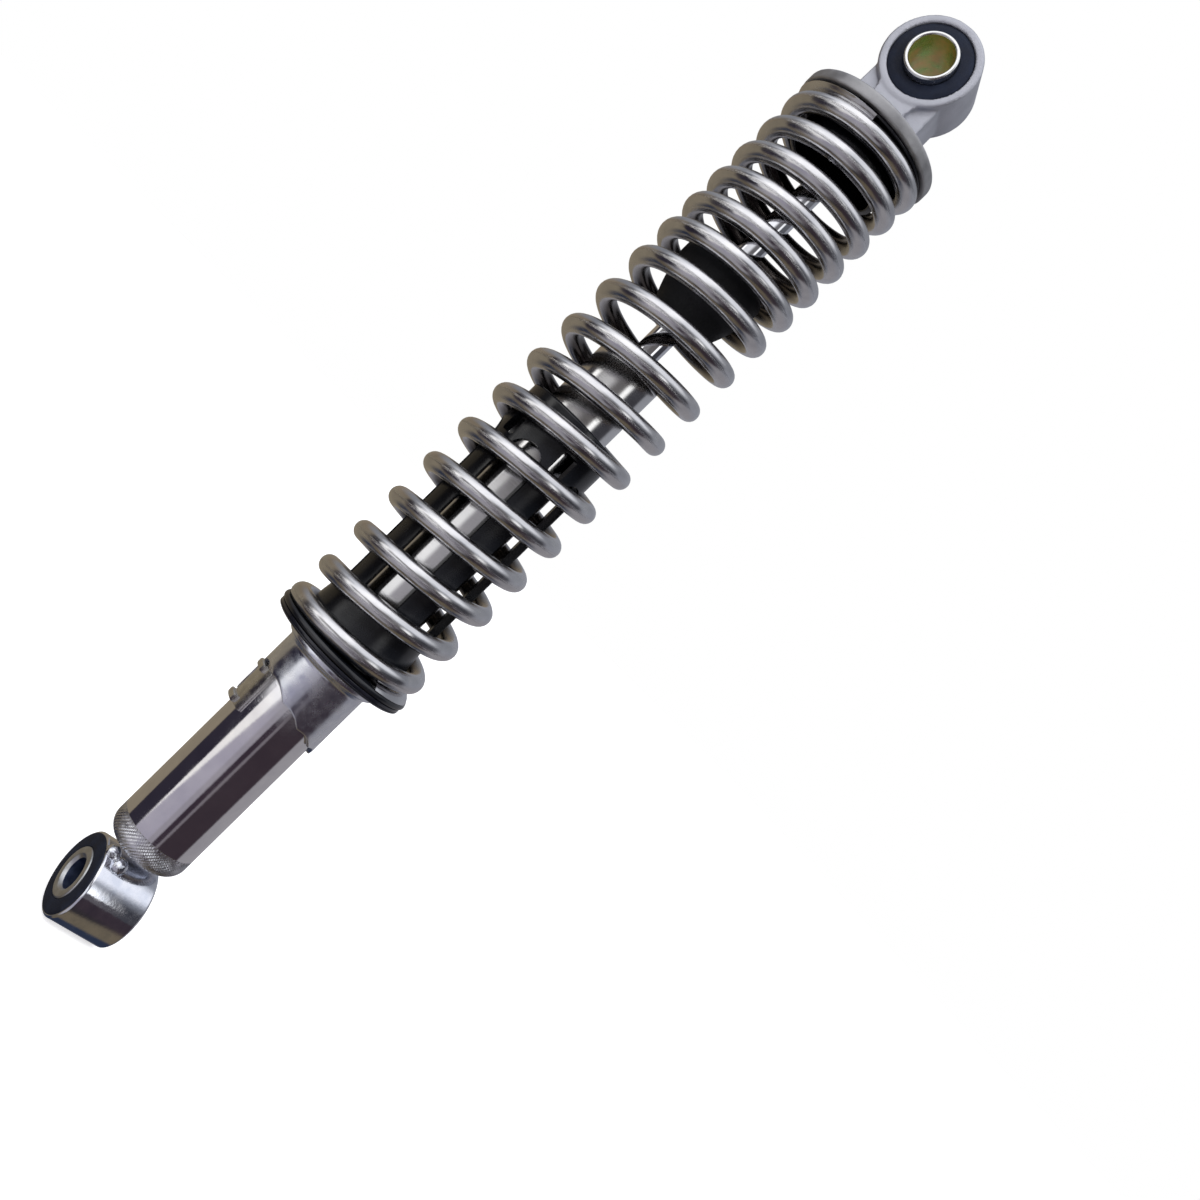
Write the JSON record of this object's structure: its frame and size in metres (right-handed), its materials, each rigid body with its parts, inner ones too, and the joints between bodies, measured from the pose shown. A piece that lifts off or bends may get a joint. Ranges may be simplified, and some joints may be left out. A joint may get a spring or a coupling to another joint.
{
  "type": "rear shock absorber",
  "caption": "Motorcycle rear shock absorber: chromed twin-tube damper in a dual-rate coil spring, with a stepped preload collar, a slotted black spring guide and a rubber-bushed eye at each end.",
  "frame": {"origin": "centre of the lower bore", "axes": "+Z from the lower bore to the upper bore along the damper's centre line; +Y along the lower bore"},
  "size_m": [0.05, 0.05, 0.3794],
  "materials": {
    "cast_aluminium": "satin die-cast",
    "bush_rubber": "matte blue-black",
    "yellow_zinc": "yellow zinc plated",
    "black_plastic": "satin moulded",
    "plain_steel": "plain steel",
    "rod_chrome": "ground and hard chromed",
    "black_rubber": "matte",
    "sintered_steel": "sintered",
    "piston_ring_plastic": "filled low-friction plastic",
    "spring_chrome": "bright plated, slightly wavy",
    "seat_plastic": "glossy moulded",
    "collar_chrome": "bright zinc, hazy",
    "drawn_steel": "drawn and polished",
    "cover_chrome": "mirror chrome",
    "lug_steel": "plated pressing",
    "base_chrome": "chrome over knurling and weld",
    "sleeve_steel": "dull zinc"
  },
  "bodies": {
    "damper_body": {"damper_tube": "drawn_steel", "gland_cap": "drawn_steel", "oil_seal": "black_rubber", "rod_guide": "sintered_steel", "guide_o_ring": "black_rubber", "inner_cylinder": "drawn_steel", "base_valve": "sintered_steel", "chrome_cover": "cover_chrome", "stop_lugs": "lug_steel", "base_cap": "base_chrome", "lower_eye_weld": "base_chrome", "lower_eye_ring": "base_chrome", "lower_bush_rubber": "bush_rubber", "lower_bush_sleeve": "sleeve_steel"},
    "spring_carrier": {"coil_spring": "spring_chrome"},
    "rod_assembly": {"upper_eye_casting": "cast_aluminium", "upper_bush_rubber": "bush_rubber", "upper_bush_sleeve": "yellow_zinc", "upper_spring_guide": "black_plastic", "lock_nut": "plain_steel", "piston_rod": "rod_chrome", "rebound_stop": "black_rubber", "valve_shims": "plain_steel", "piston": "sintered_steel", "piston_ring": "piston_ring_plastic", "piston_nut": "plain_steel"},
    "bump_stop_body": {"bump_stop": "black_rubber"},
    "seat_body": {"spring_guide": "black_plastic", "spring_seat": "seat_plastic"},
    "collar_body": {"adjuster_collar": "collar_chrome"}
  },
  "joints": [
    {"name": "stroke", "type": "slide", "parent": "damper_body", "child": "spring_carrier", "axis": [0, 0, -1], "range_m": [0, 0.06], "stiffness_N_per_m": 18000, "springref_m": -0.01, "deforming": ["coil_spring"]},
    {"name": "swivel", "type": "hinge", "parent": "spring_carrier", "child": "rod_assembly", "pos_m": [0, 0, 0.35], "axis": [0, 0, 1], "continuous": true},
    {"name": "bump_stop_slide", "type": "slide", "parent": "damper_body", "child": "bump_stop_body", "axis": [0, 0, -1], "range_m": [0, 0.018]},
    {"name": "adjuster_lift", "type": "slide", "parent": "damper_body", "child": "seat_body", "axis": [0, 0, 1], "range_m": [0, 0.0119]},
    {"name": "adjuster_turn", "type": "hinge", "parent": "seat_body", "child": "collar_body", "pos_m": [0, 0, 0.09], "axis": [0, 0, -1], "range_deg": [0, 140]}
  ],
  "couplings": [
    {"joint": "bump_stop_slide", "follows": "stroke", "ratio": 0.29},
    {"joint": "adjuster_turn", "follows": "adjuster_lift", "rad_per_m": 197.8}
  ]
}
